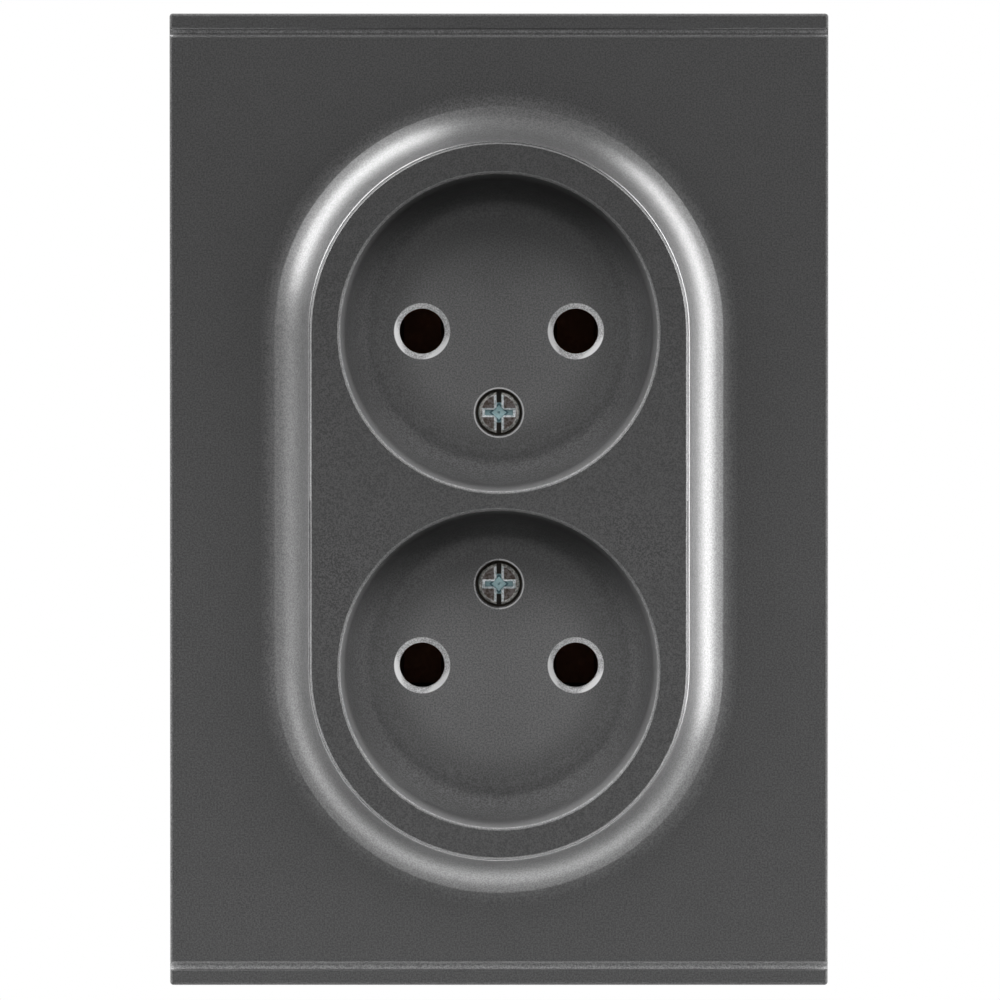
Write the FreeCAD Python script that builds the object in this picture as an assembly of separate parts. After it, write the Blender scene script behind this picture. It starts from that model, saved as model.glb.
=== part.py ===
import FreeCAD, Part
import math
import os

# Double wall socket for two-pin plugs.
# Millimetres. X is to the right as the socket is seen, Z is up and Y points into the wall.
# The wall's surface is the plane Y = 0, so what stands out of the wall has negative Y.
# The origin is the centre of the wall box, on the wall's surface.

vec = FreeCAD.Vector
INTO_WALL = vec(0, 1, 0)
OUT_OF_WALL = vec(0, -1, 0)
EPS = 0.5

# Plugs
pin_pitch = 19.0
pin_hole_diameter = 5.6
pin_lead_in_diameter = 6.9

# Cover frame
frame_width = 81.0
frame_height = 119.6
frame_depth = 9.6
frame_wall = 2.0
frame_corner_radius = 0.4
frame_edge_fillet = 0.35
groove_inset = 1.9
groove_width = 0.9
groove_lip_fillet = 0.12
cove_radius = 9.2
cove_tail_radius = 3.6
cove_tail_angle = 29.0
cove_top_angle = 67.0
cove_steep_rise = 0.6
lip_fillet = 0.12
window_clearance = 0.06
collar_wall = 1.2
collar_lap = 0.5
rib_wall = 1.2
rib_depth = 3.6

# Socket insert
well_diameter = 39.0
well_bridge = 2.3
well_side_rim = 3.7
well_end_rim = 3.85
insert_proud = 0.25
insert_edge_chamfer = 0.25
insert_plate = 2.0
insert_side_wall = 1.6
insert_flange_reach = 2.6
insert_flange_thickness = 1.5
well_draft = 0.5
well_floor_fillet = 5.6
well_rim_chamfer = 0.3
well_floor_thickness = 1.8
pin_collar_wall = 1.0
screw_floor_margin = 0.4

# Cover screws and their nuts
cover_screw_diameter = 3.0
cover_screw_length = 12.0
cover_screw_head_diameter = 5.1
cover_screw_head_height = 1.8
cover_screw_recess_diameter = 5.9
cover_screw_seat = 1.1
cover_screw_sunk = 0.25
screw_slot_width = 0.8
screw_slot_depth = 0.8
screw_cross_reach = 4.2
screw_cross_width = 1.2
screw_cross_depth = 1.4
screw_cross_end = 1.4
nut_width = 5.5
nut_thickness = 1.8
nut_screw_end = 1.25

# Support plate
plate_margin = 3.0
plate_thickness = 1.0
plate_corner_radius = 4.0
plate_lip_height = 2.0
box_screw_pitch = 60.0
box_slot_width = 3.8
box_slot_length = 7.0

# Contact housing and its lid
channel_side_wall = 2.15
channel_end_wall = 1.85
channel_corner_wall = 1.3
housing_rim = 1.3
housing_rear_chamfer = 1.0
lid_back = 1.0
ear_height = 6.0
ear_thickness = 3.0
ear_claw_gap = 4.5
rivet_side_gap = 2.5
rivet_edge = 3.0
rivet_diameter = 2.5
rivet_head_diameter = 4.2
rivet_head_height = 0.7
rivet_head_chamfer = 0.35
rivet_bore_diameter = 1.4
core_floor = 1.8
core_wall = 1.6

# Contact bars, springs and terminals
bar_depth = 17.0
bar_thickness = 0.8
bar_width = 5.0
fork_width = 6.0
fork_gap = 6.2
fork_grip_gap = 4.6
fork_mouth_depth = 3.0
fork_straight = 3.0
spring_thickness = 0.4
spring_width = 5.0
channel_clearance = 0.5
terminal_offset = 7.5
terminal_screw_diameter = 3.5
terminal_screw_length = 8.0
terminal_head_diameter = 6.0
terminal_head_height = 2.0
terminal_cover = 2.35
clamp_end_play = 0.65
clamp_side_play = 0.85
clamp_thickness = 1.2
clamp_lip = 1.0
wire_gap = 2.6
wire_entry_width = 8.0

# Claws and their screws
claw_side_gap = 1.9
claw_thickness = 1.2
claw_width = 10.0
claw_prong_width = 1.6
claw_hook_reach = 1.8
claw_shoulder = 0.4
claw_length = 20.5
claw_tip_reach = 7.2
claw_tip_rise = 3.6
claw_teeth = 4
claw_lug_inset = 7.5
claw_lug_thickness = 1.5
claw_lug_reach = 5.2
claw_lug_width = 7.0
claw_screw_offset = 3.0
claw_screw_diameter = 3.5
claw_head_diameter = 6.0
claw_head_height = 2.0
claw_window_play = 0.4
claw_tilt = 20.0

# Clearances between pieces
fit_gap = 0.05
seat_gap = 0.1
loose_gap = 0.25
free_gap = 0.3
guide_gap = 0.5

# Sizes seen from the front that follow from the values above
socket_spacing = well_diameter + well_bridge
insert_width = well_diameter + 2 * well_side_rim
insert_height = well_diameter + socket_spacing + 2 * well_end_rim
insert_straight = insert_height - insert_width
well_floor_radius = well_diameter / 2 - well_draft - well_floor_fillet
screw_offset = (
    socket_spacing / 2 - well_floor_radius + screw_floor_margin + cover_screw_recess_diameter / 2
)
plate_size = frame_width - 2 * (frame_wall + plate_margin)
channel_width = fork_gap + 2 * (bar_thickness + spring_thickness + fit_gap + channel_clearance)
channel_height = socket_spacing + fork_width + 2 * channel_clearance
channel_corner = math.hypot((pin_pitch + channel_width) / 2, channel_height / 2)
housing_width = pin_pitch + channel_width + 2 * channel_side_wall
housing_height = channel_height + 2 * channel_end_wall
housing_round_diameter = 2 * (channel_corner + channel_corner_wall)
ear_reach = rivet_side_gap + rivet_edge
rivet_x = housing_width / 2 + rivet_side_gap
rivet_z = claw_width / 2 + ear_claw_gap + ear_height / 2
clamp_width = channel_width - 2 * clamp_end_play
clamp_length = channel_width - 2 * clamp_side_play
claw_pivot_x = housing_width / 2 + claw_side_gap + claw_thickness / 2

# Depths that follow from the values above, all as Y
flat_y = -frame_depth
frame_back_y = flat_y + frame_wall
cove_tail_rise = cove_tail_radius * (1 - math.cos(math.radians(cove_tail_angle)))
cove_arc_rise = cove_radius * (
    math.cos(math.radians(cove_tail_angle)) - math.cos(math.radians(cove_top_angle))
)
cove_height = cove_tail_rise + cove_arc_rise + cove_steep_rise
lip_y = flat_y - cove_height
insert_front_y = lip_y - insert_proud
flange_front_y = frame_back_y + seat_gap
flange_back_y = flange_front_y + insert_flange_thickness
plate_front_y = -plate_thickness
floor_back_y = plate_front_y - 2 * seat_gap
floor_y = floor_back_y - well_floor_thickness
well_depth = floor_y - insert_front_y
cover_seat_y = floor_y + cover_screw_sunk + cover_screw_head_height
boss_back_y = cover_seat_y + cover_screw_seat
nut_depth = cover_seat_y + cover_screw_length - nut_screw_end - nut_thickness
bar_back_y = bar_depth + bar_thickness
fork_leaf_sag = (fork_gap - fork_grip_gap) / 2
spring_back_y = bar_back_y + spring_thickness + 2 * seat_gap
clamp_y = bar_back_y + wire_gap
terminal_under_y = clamp_y + clamp_thickness + fit_gap
terminal_top_y = terminal_under_y + terminal_head_height
housing_depth = terminal_top_y + terminal_cover
claw_tip_slope = math.atan2(claw_tip_rise, claw_tip_reach)
claw_fold_y = claw_length - claw_thickness / math.cos(claw_tip_slope)
claw_lug_depth = claw_length - claw_lug_inset
claw_screw_under_y = plate_front_y - seat_gap
claw_screw_end_y = claw_fold_y - loose_gap


def slab(wire, y_from, y_to):
    """Solid between two depths, from an outline drawn at Y = 0."""
    face = Part.Face(wire)
    face.translate(vec(0, y_from, 0))
    return face.extrude(vec(0, y_to - y_from, 0))


def rounded_rectangle(width, height, radius, x=0.0, z=0.0):
    """Outline with round corners, centred on (x, z)."""
    a = width / 2 - radius
    b = height / 2 - radius
    turn = radius * math.sin(math.radians(45))
    right, left = x + width / 2, x - width / 2
    top, bottom = z + height / 2, z - height / 2
    corners = [
        (vec(right, 0, z + b), vec(x + a + turn, 0, z + b + turn), vec(x + a, 0, top)),
        (vec(x - a, 0, top), vec(x - a - turn, 0, z + b + turn), vec(left, 0, z + b)),
        (vec(left, 0, z - b), vec(x - a - turn, 0, z - b - turn), vec(x - a, 0, bottom)),
        (vec(x + a, 0, bottom), vec(x + a + turn, 0, z - b - turn), vec(right, 0, z - b)),
    ]
    edges = []
    for number, corner in enumerate(corners):
        edges.append(Part.Arc(*corner).toShape())
        following = corners[(number + 1) % len(corners)][0]
        if corner[2].distanceToPoint(following) > 1e-6:
            edges.append(Part.LineSegment(corner[2], following).toShape())
    return Part.Wire(edges)


def stadium(width, straight):
    """Upright outline of two half circles joined by straight sides."""
    return rounded_rectangle(width, straight + width, width / 2)


def slot_outline(length, width, x=0.0, z=0.0):
    """Slot along X with round ends."""
    return rounded_rectangle(length, width, width / 2, x, z)


def rod(diameter, x, z, y_from, y_to):
    """Round bar along Y."""
    return Part.makeCylinder(diameter / 2, y_to - y_from, vec(x, y_from, z), INTO_WALL)


def cone(diameter_from, diameter_to, x, z, y_from, y_to):
    """Round taper along Y."""
    return Part.makeCone(
        diameter_from / 2, diameter_to / 2, y_to - y_from, vec(x, y_from, z), INTO_WALL
    )


def block(x_from, x_to, y_from, y_to, z_from, z_to):
    """Plain block between two corners."""
    return Part.makeBox(x_to - x_from, y_to - y_from, z_to - z_from, vec(x_from, y_from, z_from))


def polygon_face(points):
    """Flat face from corner points."""
    return Part.Face(Part.makePolygon(points + [points[0]]))


def fuse_all(shapes):
    """One solid from several that touch or overlap."""
    return shapes[0].multiFuse(shapes[1:]).removeSplitter()


def mirrored_x(shape):
    """The same shape on the other side of the plane X = 0."""
    return shape.mirror(vec(0, 0, 0), vec(1, 0, 0))


def round_the_window(profile):
    """Carry a section, drawn in the plane Z = 0 to the right of the window, once round it."""
    half = insert_straight / 2
    side = profile.copy()
    side.translate(vec(0, 0, -half))
    right = side.extrude(vec(0, 0, insert_straight))
    start = profile.copy()
    start.translate(vec(0, 0, half))
    top = start.revolve(vec(0, 0, half), OUT_OF_WALL, 180)
    upper = right.fuse(top)
    lower = upper.copy()
    lower.rotate(vec(0, 0, 0), INTO_WALL, 180)
    return upper.fuse(lower).removeSplitter()


def cove_section():
    """Section of the cove: a steep edge, a wide hollow and a small hollow down to the flat."""
    inner = insert_width / 2 + window_clearance
    top_slope = math.radians(cove_top_angle)
    tail_slope = math.radians(cove_tail_angle)
    steep_x = inner + lip_fillet
    steep_y = lip_y + lip_fillet
    arc_x = steep_x + (cove_steep_rise - lip_fillet) / math.tan(top_slope)
    arc_y = lip_y + cove_steep_rise
    centre_x = arc_x + cove_radius * math.sin(top_slope)
    centre_y = arc_y - cove_radius * math.cos(top_slope)
    middle_slope = (top_slope + tail_slope) / 2
    tail_x = centre_x - cove_radius * math.sin(tail_slope)
    tail_y = centre_y + cove_radius * math.cos(tail_slope)
    end_x = tail_x + cove_tail_radius * math.sin(tail_slope)
    half_tail = tail_slope / 2
    hidden_y = flat_y + frame_wall / 2
    edges = [
        Part.LineSegment(vec(inner, hidden_y, 0), vec(inner, steep_y, 0)),
        Part.LineSegment(vec(inner, steep_y, 0), vec(inner, lip_y, 0)),
        Part.LineSegment(vec(inner, lip_y, 0), vec(steep_x, steep_y, 0)),
        Part.LineSegment(vec(steep_x, steep_y, 0), vec(arc_x, arc_y, 0)),
        Part.Arc(
            vec(arc_x, arc_y, 0),
            vec(
                centre_x - cove_radius * math.sin(middle_slope),
                centre_y + cove_radius * math.cos(middle_slope),
                0,
            ),
            vec(tail_x, tail_y, 0),
        ),
        Part.Arc(
            vec(tail_x, tail_y, 0),
            vec(
                end_x - cove_tail_radius * math.sin(half_tail),
                flat_y - cove_tail_radius * (1 - math.cos(half_tail)),
                0,
            ),
            vec(end_x, flat_y, 0),
        ),
        Part.LineSegment(vec(end_x, flat_y, 0), vec(end_x, hidden_y, 0)),
        Part.LineSegment(vec(end_x, hidden_y, 0), vec(inner, hidden_y, 0)),
    ]
    return Part.Face(Part.Wire([edge.toShape() for edge in edges]))


def groove_cutter():
    """Tool for one groove across the frame: a round bottom and slightly flared lips."""
    middle_z = frame_height / 2 - groove_inset - groove_width / 2
    half = groove_width / 2
    flare = half + groove_lip_fillet
    depth_y = flat_y + half
    above_y = flat_y - EPS
    edges = [
        Part.LineSegment(vec(0, above_y, middle_z - flare), vec(0, flat_y, middle_z - flare)),
        Part.LineSegment(
            vec(0, flat_y, middle_z - flare),
            vec(0, flat_y + groove_lip_fillet, middle_z - half),
        ),
        Part.LineSegment(
            vec(0, flat_y + groove_lip_fillet, middle_z - half), vec(0, depth_y, middle_z - half)
        ),
        Part.Arc(
            vec(0, depth_y, middle_z - half),
            vec(0, depth_y + half, middle_z),
            vec(0, depth_y, middle_z + half),
        ),
        Part.LineSegment(
            vec(0, depth_y, middle_z + half), vec(0, flat_y + groove_lip_fillet, middle_z + half)
        ),
        Part.LineSegment(
            vec(0, flat_y + groove_lip_fillet, middle_z + half),
            vec(0, flat_y, middle_z + flare),
        ),
        Part.LineSegment(vec(0, flat_y, middle_z + flare), vec(0, above_y, middle_z + flare)),
        Part.LineSegment(
            vec(0, above_y, middle_z + flare), vec(0, above_y, middle_z - flare)
        ),
    ]
    face = Part.Face(Part.Wire([edge.toShape() for edge in edges]))
    face.translate(vec(-frame_width / 2 - EPS, 0, 0))
    return face.extrude(vec(frame_width + 2 * EPS, 0, 0))


def front_edges(shape, y):
    """Edges that lie wholly at one depth."""
    found = []
    for edge in shape.Edges:
        box = edge.BoundBox
        if abs(box.YMin - y) < 1e-4 and abs(box.YMax - y) < 1e-4:
            found.append(edge)
    return found


def make_cover_frame():
    """Moulded frame: hollow from behind, with the cove, the grooves and the ribs at its back."""
    outline = rounded_rectangle(frame_width, frame_height, frame_corner_radius)
    body = slab(outline, flat_y, 0)
    body = body.makeFillet(frame_edge_fillet, front_edges(body, flat_y))
    inner_width = frame_width - 2 * frame_wall
    inner_height = frame_height - 2 * frame_wall
    hollow = rounded_rectangle(inner_width, inner_height, frame_wall / 2)
    body = body.cut(slab(hollow, frame_back_y, EPS))
    body = body.fuse(round_the_window(cove_section()))

    collar_inner = insert_width + 2 * (insert_flange_reach + seat_gap + free_gap)
    collar_outer = collar_inner + 2 * collar_wall
    collar_end_y = flange_back_y + collar_lap
    collar = slab(stadium(collar_outer, insert_straight), frame_back_y - EPS, collar_end_y)
    collar = collar.cut(slab(stadium(collar_inner, insert_straight), frame_back_y, EPS))
    ribs = []
    rib_end_y = frame_back_y + rib_depth
    for side in (-1, 1):
        for level in (-1, 1):
            reach = sorted((side * collar_outer / 2, side * (frame_width / 2 - frame_wall / 2)))
            rib_z = level * insert_straight / 2
            ribs.append(
                block(reach[0], reach[1], frame_back_y - EPS, rib_end_y,
                      rib_z - rib_wall / 2, rib_z + rib_wall / 2)
            )
            rib_x = side * insert_width / 4
            start_z = insert_straight / 2 + math.sqrt((collar_outer / 2) ** 2 - rib_x ** 2)
            reach = sorted(
                (level * (start_z - rib_wall / 2), level * (frame_height / 2 - frame_wall / 2))
            )
            ribs.append(
                block(rib_x - rib_wall / 2, rib_x + rib_wall / 2, frame_back_y - EPS, rib_end_y,
                      reach[0], reach[1])
            )
    body = fuse_all([body, collar] + ribs)
    window = stadium(insert_width + 2 * window_clearance, insert_straight)
    body = body.cut(slab(window, lip_y - EPS, EPS))
    groove = groove_cutter()
    body = body.cut(groove)
    return body.cut(groove.mirror(vec(0, 0, 0), vec(0, 0, 1)))


def well_section(radius, draft_end, fillet, y_front, y_floor):
    """Half section of a round well, open to the front, with a large fillet at its floor."""
    floor_radius = draft_end - fillet
    fillet_y = y_floor - fillet
    turn = fillet * math.sin(math.radians(45))
    edges = [
        Part.LineSegment(vec(0, y_front, 0), vec(radius, y_front, 0)),
        Part.LineSegment(vec(radius, y_front, 0), vec(draft_end, fillet_y, 0)),
        Part.Arc(
            vec(draft_end, fillet_y, 0),
            vec(floor_radius + turn, fillet_y + turn, 0),
            vec(floor_radius, y_floor, 0),
        ),
        Part.LineSegment(vec(floor_radius, y_floor, 0), vec(0, y_floor, 0)),
        Part.LineSegment(vec(0, y_floor, 0), vec(0, y_front, 0)),
    ]
    return Part.Face(Part.Wire([edge.toShape() for edge in edges]))


def bowl_back_section(radius, fillet, y_front, y_back):
    """Half section of the back of a well: a cone that would touch the fillet if it had one."""
    cut = fillet * (2 - math.sqrt(2))
    return polygon_face([
        vec(0, y_front, 0),
        vec(radius, y_front, 0),
        vec(radius, y_back - cut, 0),
        vec(radius - cut, y_back, 0),
        vec(0, y_back, 0),
    ])


def turned(section, z):
    """Solid of revolution about an axis along Y."""
    solid = section.revolve(vec(0, 0, 0), INTO_WALL, 360)
    solid.translate(vec(0, 0, z))
    return solid


def make_socket_insert():
    """Stadium plate with two wells, a flange behind the frame, pin collars and screw seats."""
    body = slab(stadium(insert_width, insert_straight), insert_front_y, flange_back_y)
    body = body.makeChamfer(insert_edge_chamfer, front_edges(body, insert_front_y))
    flange_width = insert_width + 2 * insert_flange_reach
    body = body.fuse(slab(stadium(flange_width, insert_straight), flange_front_y, flange_back_y))
    hollow_width = insert_width - 2 * insert_side_wall
    hollow_y = insert_front_y + insert_plate
    body = body.cut(slab(stadium(hollow_width, insert_straight), hollow_y, EPS))

    mouth = well_diameter / 2
    draft_end = mouth - well_draft
    fillet_y = floor_y - well_floor_fillet
    shells = []
    wells = []
    for level in (-1, 1):
        z = level * socket_spacing / 2
        skirt = rod(hollow_width + insert_side_wall / 2, 0, z, hollow_y - EPS, fillet_y - EPS)
        outer = bowl_back_section(
            draft_end + well_floor_thickness,
            well_floor_fillet + well_floor_thickness,
            fillet_y - 2 * EPS,
            floor_back_y,
        )
        shells += [skirt, turned(outer, z)]
        wells.append(
            turned(
                well_section(mouth, draft_end, well_floor_fillet, insert_front_y, floor_y), z
            )
        )
    ribs = []
    for side in (-1, 1):
        rib_x = side * insert_width / 4
        ribs.append(
            block(rib_x - rib_wall / 2, rib_x + rib_wall / 2, hollow_y - EPS, flange_back_y,
                  -insert_straight / 2, insert_straight / 2)
        )
    body = fuse_all([body] + shells + ribs)

    collar_diameter = pin_hole_diameter + 2 * pin_collar_wall
    boss_diameter = cover_screw_recess_diameter + 2 * cover_screw_seat
    bosses = []
    holes = []
    for level in (-1, 1):
        z = level * socket_spacing / 2
        for side in (-1, 1):
            x = side * pin_pitch / 2
            bosses.append(rod(collar_diameter, x, z, floor_y + EPS, boss_back_y))
            holes.append(rod(pin_hole_diameter, x, z, floor_y - EPS, EPS))
            lead_in = (pin_lead_in_diameter - pin_hole_diameter) / 2
            holes.append(
                cone(pin_lead_in_diameter, pin_hole_diameter, x, z, floor_y, floor_y + lead_in)
            )
        z = level * screw_offset
        bosses.append(rod(boss_diameter, 0, z, floor_y + EPS, boss_back_y))
        holes.append(rod(cover_screw_recess_diameter, 0, z, floor_y - EPS, cover_seat_y))
        holes.append(rod(cover_screw_diameter + 2 * loose_gap, 0, z, cover_seat_y - EPS, EPS))
    body = fuse_all([body] + bosses)
    for well in wells:
        body = body.cut(well)
    rims = []
    for edge in front_edges(body, insert_front_y):
        if abs(edge.BoundBox.XLength - well_diameter) < 1e-3:
            rims.append(edge)
    body = body.makeChamfer(well_rim_chamfer, rims)
    for hole in holes:
        body = body.cut(hole)
    return body.removeSplitter()


def pan_head(diameter, height, x, z, y_under):
    """Pan head of a screw that stands out of the wall from its seat."""
    head = rod(diameter, x, z, y_under - height, y_under)
    return head.makeChamfer(height / 4, front_edges(head, y_under - height))


def make_cover_screws():
    """Two pan-head screws, each with a cross recess and a slot right across the head."""
    screws = []
    front_y = cover_seat_y - cover_screw_head_height
    tip_y = cover_seat_y + cover_screw_length
    for level in (-1, 1):
        z = level * screw_offset
        screw = pan_head(cover_screw_head_diameter, cover_screw_head_height, 0, z, cover_seat_y)
        shank = rod(cover_screw_diameter - 2 * fit_gap, 0, z, cover_seat_y - EPS, tip_y)
        screw = screw.fuse(shank)
        half = cover_screw_head_diameter / 2 + EPS
        slot = block(-screw_slot_width / 2, screw_slot_width / 2, front_y - EPS,
                     front_y + screw_slot_depth, z - half, z + half)
        arm = screw_cross_reach / 2
        wide = screw_cross_width / 2
        depth_y = front_y + screw_cross_depth
        across = block(-arm, arm, front_y, depth_y, z - wide, z + wide)
        upright = block(-wide, wide, front_y, depth_y, z - arm, z + arm)
        taper = cone(screw_cross_reach, screw_cross_end, 0, z, front_y, depth_y)
        cross = across.fuse(upright).common(taper)
        screws.append(screw.cut(slot).cut(cross))
    return Part.makeCompound(screws)


def make_cover_screw_nuts():
    """Two square nuts that the cover screws pull against the housing."""
    nuts = []
    for level in (-1, 1):
        z = level * screw_offset
        outline = rounded_rectangle(nut_width, nut_width, 0.3, 0, z)
        nut = slab(outline, nut_depth, nut_depth + nut_thickness)
        nuts.append(nut.cut(rod(cover_screw_diameter, 0, z, nut_depth - EPS, nut_depth + EPS * 8)))
    return Part.makeCompound(nuts)


def mechanism_outline(grow, y_from, y_to):
    """Disc cut flat at the sides, the top and the bottom, as the housing and its lid are."""
    disc = rod(housing_round_diameter + 2 * grow, 0, 0, y_from, y_to)
    half_width = housing_width / 2 + grow
    half_height = housing_height / 2 + grow
    return disc.common(block(-half_width, half_width, y_from, y_to, -half_height, half_height))


def make_support_plate():
    """Pressed steel plate: lips at both sides, slots for box screws, windows for claws."""
    outline = rounded_rectangle(plate_size, plate_size, plate_corner_radius)
    plate = slab(outline, plate_front_y, 0)
    lip_half = plate_size / 2 - plate_corner_radius
    lips = []
    for side in (-1, 1):
        reach = sorted((side * plate_size / 2, side * (plate_size / 2 - plate_thickness)))
        lips.append(
            block(reach[0], reach[1], plate_front_y - plate_lip_height, 0, -lip_half, lip_half)
        )
    plate = fuse_all([plate] + lips)
    plate = plate.cut(mechanism_outline(-housing_rim + loose_gap, -EPS * 4, EPS))
    half_pitch = box_screw_pitch / 2
    cuts = []
    for side in (-1, 1):
        outlines = [
            slot_outline(box_slot_length, box_slot_width, side * half_pitch, 0),
            slot_outline(box_slot_length, box_slot_width, 0, side * half_pitch),
        ]
        cuts += [slab(outline, plate_front_y - EPS, EPS) for outline in outlines]
        cuts.append(claw_window(side))
        for level in (-1, 1):
            hole = rivet_diameter + 2 * fit_gap
            cuts.append(rod(hole, side * rivet_x, level * rivet_z, plate_front_y - EPS, EPS))
    for cut in cuts:
        plate = plate.cut(cut)
    return plate


def claw_window(side):
    """Opening in the plate for the prongs of one claw and for the shank of its screw."""
    half_slot = claw_thickness / 2 + claw_window_play
    half_claw = claw_width / 2 + loose_gap
    prongs = block(claw_pivot_x - half_slot, claw_pivot_x + half_slot, plate_front_y - EPS, EPS,
                   -half_claw, half_claw)
    tilt = math.radians(claw_tilt)
    shank = claw_screw_diameter / 2
    travel = plate_thickness * math.tan(tilt) / 2 + (claw_screw_offset * (1 / math.cos(tilt) - 1))
    far = claw_pivot_x + claw_screw_offset + travel + shank / math.cos(tilt) + loose_gap
    near = claw_pivot_x
    middle = (near + far) / 2
    hole = slab(slot_outline(far - near, 2 * (shank + loose_gap), middle, 0),
                plate_front_y - EPS, EPS)
    window = prongs.fuse(hole)
    return window if side > 0 else mirrored_x(window)


def channel(x, z_half, y_from, y_to):
    """Straight round-cornered channel for one pole."""
    return slab(rounded_rectangle(channel_width, 2 * z_half, 1.5, x, 0), y_from, y_to)


def make_contact_housing():
    """Moulded body with a channel for each pole, terminal pockets and nut pockets."""
    body = mechanism_outline(0, 0, housing_depth)
    body = body.makeChamfer(housing_rear_chamfer, front_edges(body, housing_depth))
    ears = []
    ear_middle = housing_width / 2 + ear_reach / 2
    for side in (-1, 1):
        for level in (-1, 1):
            outline = rounded_rectangle(ear_reach + 2, ear_height, 2.0,
                                        side * (ear_middle - 1), level * rivet_z)
            ears.append(slab(outline, 0, ear_thickness))
    body = fuse_all([body] + ears)

    cuts = [mechanism_outline(-housing_rim + fit_gap, -EPS, lid_back)]
    core_y = spring_back_y + core_floor
    for side in (-1, 1):
        x = side * pin_pitch / 2
        cuts.append(channel(x, channel_height / 2, -EPS, bar_back_y))
        for level in (-1, 1):
            fork_z = level * socket_spacing / 2
            fork_room = rounded_rectangle(channel_width, fork_width + 2 * channel_clearance,
                                          1.5, x, fork_z)
            cuts.append(slab(fork_room, bar_depth - EPS, spring_back_y))
            terminal_z = level * terminal_offset
            pocket = rounded_rectangle(channel_width, channel_width, 1.0, x, terminal_z)
            cuts.append(slab(pocket, bar_depth, housing_depth + EPS))
            reach = sorted((x, x + side * housing_width / 2))
            half_entry = wire_entry_width / 2
            cuts.append(block(reach[0], reach[1], bar_back_y, clamp_y,
                              terminal_z - half_entry, terminal_z + half_entry))
            core = rounded_rectangle(channel_width, fork_width + 2 * channel_clearance,
                                     1.5, x, fork_z)
            cuts.append(slab(core, core_y, housing_depth + EPS))
            hole = rivet_diameter + 2 * fit_gap
            cuts.append(rod(hole, side * rivet_x, level * rivet_z, -EPS, ear_thickness + EPS))
    pocket_width = nut_width + 2 * seat_gap
    for level in (-1, 1):
        z = level * screw_offset
        cuts.append(slab(rounded_rectangle(pocket_width, pocket_width, 0.3, 0, z),
                         nut_depth, housing_depth + EPS))
        cuts.append(rod(cover_screw_diameter + 2 * loose_gap, 0, z, -EPS, nut_depth + EPS))
    core_height = 2 * (screw_offset - pocket_width / 2 - core_wall)
    cuts.append(slab(rounded_rectangle(pocket_width, core_height, 1.0),
                     housing_depth / 2, housing_depth + EPS))
    for cut in cuts:
        body = body.cut(cut)
    return body.removeSplitter()


def make_contact_cover():
    """Lid over the channels: pin guides, seats for the insert's collars, and hold-down posts."""
    body = mechanism_outline(-housing_rim, plate_front_y, lid_back)
    posts = []
    post_z = (terminal_offset + channel_width / 2 + socket_spacing / 2 - fork_width / 2) / 2
    for side in (-1, 1):
        x = side * pin_pitch / 2
        for level in (-1, 1):
            outline = rounded_rectangle(bar_width, rib_wall * 2, 0.5, x, level * post_z)
            posts.append(slab(outline, lid_back - EPS, bar_depth - fit_gap))
    body = fuse_all([body] + posts)
    pin_seat = pin_hole_diameter + 2 * pin_collar_wall + 2 * loose_gap
    screw_seat = cover_screw_recess_diameter + 2 * cover_screw_seat + 2 * loose_gap
    seat_back_y = boss_back_y + seat_gap
    cuts = []
    for level in (-1, 1):
        z = level * socket_spacing / 2
        for side in (-1, 1):
            x = side * pin_pitch / 2
            cuts.append(rod(pin_seat, x, z, plate_front_y - EPS, seat_back_y))
            cuts.append(rod(pin_hole_diameter + 2 * guide_gap, x, z, seat_back_y - EPS,
                            lid_back + EPS))
        z = level * screw_offset
        cuts.append(rod(screw_seat, 0, z, plate_front_y - EPS, seat_back_y))
        cuts.append(rod(cover_screw_diameter + 2 * loose_gap, 0, z, seat_back_y - EPS,
                        lid_back + EPS))
    for cut in cuts:
        body = body.cut(cut)
    return body


def make_housing_rivets():
    """Four tubular rivets through the plate and the ears of the housing."""
    rivets = []
    for side in (-1, 1):
        for level in (-1, 1):
            x = side * rivet_x
            z = level * rivet_z
            shank = rod(rivet_diameter, x, z, plate_front_y - fit_gap, ear_thickness + fit_gap)
            front_y = plate_front_y - rivet_head_height
            front = rod(rivet_head_diameter, x, z, front_y, plate_front_y)
            front = front.makeChamfer(rivet_head_chamfer, front_edges(front, front_y))
            back_y = ear_thickness + rivet_head_height
            back = rod(rivet_head_diameter, x, z, ear_thickness, back_y)
            back = back.makeChamfer(rivet_head_chamfer, front_edges(back, back_y))
            rivet = fuse_all([shank, front, back])
            rivets.append(rivet.cut(rod(rivet_bore_diameter, x, z, plate_front_y, back_y + EPS)))
    return Part.makeCompound(rivets)


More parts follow.
